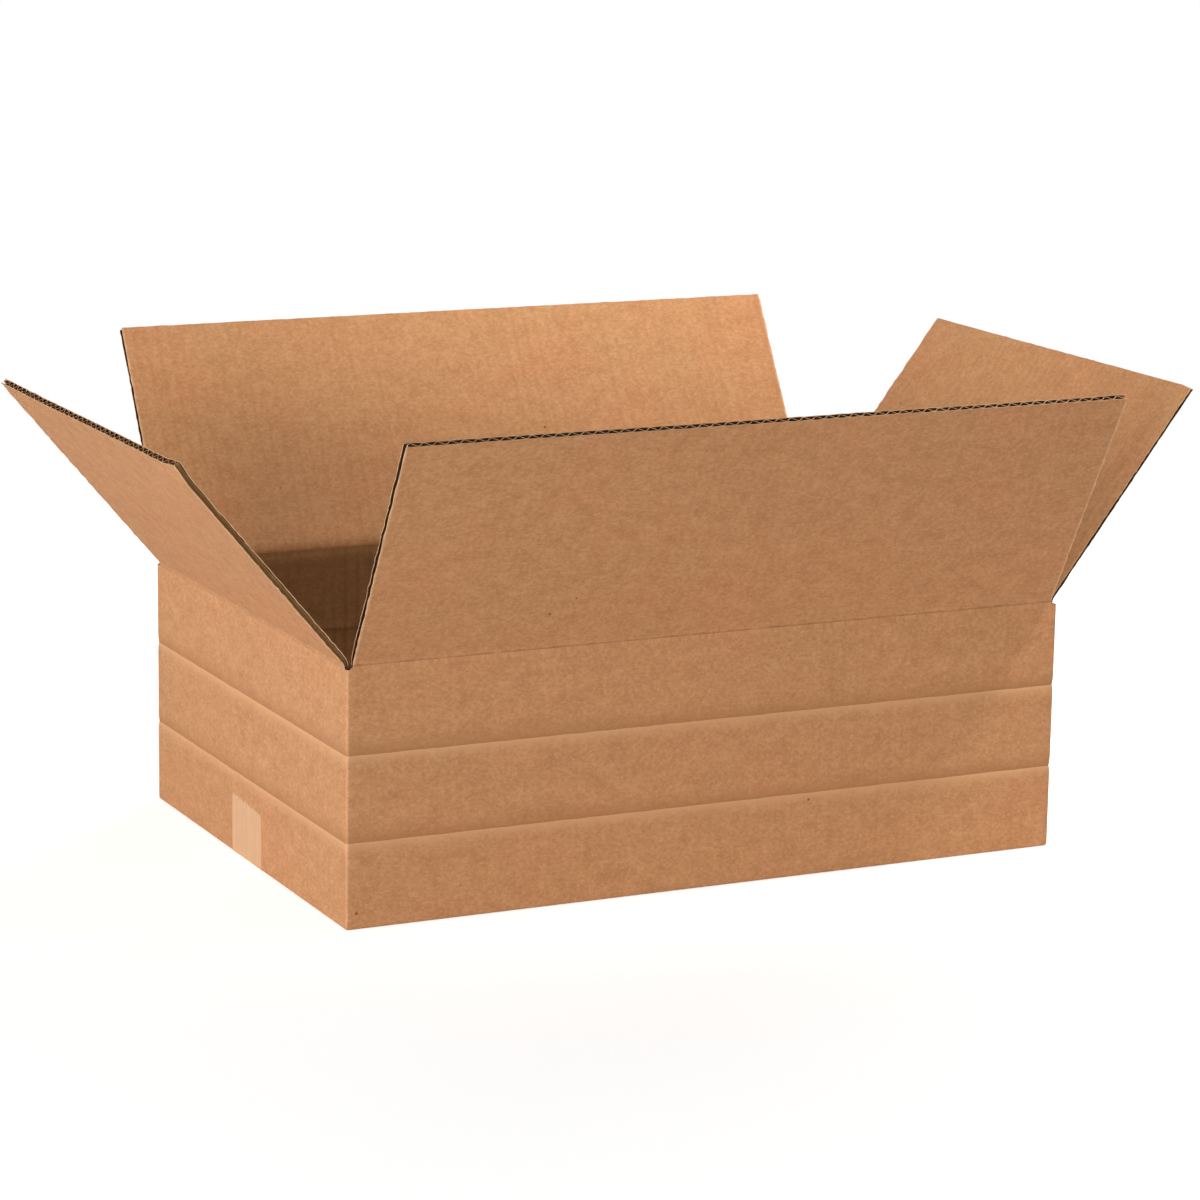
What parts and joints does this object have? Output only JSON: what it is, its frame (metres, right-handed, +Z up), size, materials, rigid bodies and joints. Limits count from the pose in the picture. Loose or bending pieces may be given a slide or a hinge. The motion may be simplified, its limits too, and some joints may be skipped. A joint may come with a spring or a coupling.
{
  "type": "open cardboard box",
  "caption": "Rectangular slotted shipping box of fluted board, taped shut underneath, with its hinged top flaps standing open and scored lines round the walls.",
  "frame": {"origin": "centre of the base, on the surface that the box stands on", "axes": "+Z up, +X along the long side to the right, -Y towards the front long wall"},
  "size_m": [0.6639, 0.4665, 0.2926],
  "materials": {
    "kraft_board": "matt brown kraft liner",
    "packing_tape": "satin pale tan tape"
  },
  "bodies": {
    "box": {"box_body": "kraft_board", "bottom_tape": "packing_tape"},
    "front_flap": {"front_flap": "kraft_board"},
    "back_flap": {"back_flap": "kraft_board"},
    "left_flap": {"left_flap": "kraft_board"},
    "right_flap": {"right_flap": "kraft_board"}
  },
  "joints": [
    {"name": "front_flap_crease", "type": "hinge", "parent": "box", "child": "front_flap", "pos_m": [0, -0.1564, 0.15518], "axis": [1, 0, 0], "range_deg": [-119, 136]},
    {"name": "back_flap_crease", "type": "hinge", "parent": "box", "child": "back_flap", "pos_m": [0, 0.1564, 0.15518], "axis": [-1, 0, 0], "range_deg": [-120.5, 134.5]},
    {"name": "left_flap_crease", "type": "hinge", "parent": "box", "child": "left_flap", "pos_m": [-0.2326, 0, 0.15082], "axis": [0, -1, 0], "range_deg": [-130, 120]},
    {"name": "right_flap_crease", "type": "hinge", "parent": "box", "child": "right_flap", "pos_m": [0.2326, 0, 0.15082], "axis": [0, 1, 0], "range_deg": [-127.2, 122.8]}
  ]
}
